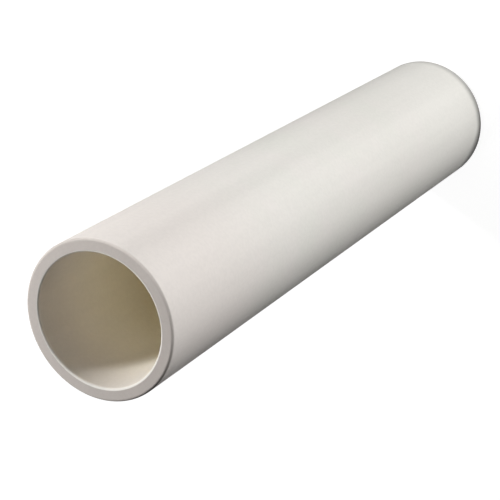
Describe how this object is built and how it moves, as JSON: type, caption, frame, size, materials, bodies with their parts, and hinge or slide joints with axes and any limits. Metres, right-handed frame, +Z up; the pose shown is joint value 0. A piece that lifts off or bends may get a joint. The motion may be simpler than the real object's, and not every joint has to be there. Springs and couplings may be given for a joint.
{
  "type": "ceramic guide tube",
  "caption": "Straight, smooth-walled ceramic tube, open at both ends, with flat ground ends and rounded edges. It guides a rod, wire or probe through its bore.",
  "frame": {"origin": "centre of the lower end, on the surface that the tube stands on", "axes": "+Z runs up the bore from the lower end to the upper end; the tube is round about Z, so X and Y are free"},
  "size_m": [0.03, 0.03, 0.15],
  "materials": {
    "fired_ceramic": "unglazed off-white fired ceramic, smooth satin outside and in the bore, ground flat and matte on the end faces"
  },
  "bodies": {
    "root": {"guide_tube": "fired_ceramic"}
  },
  "joints": []
}
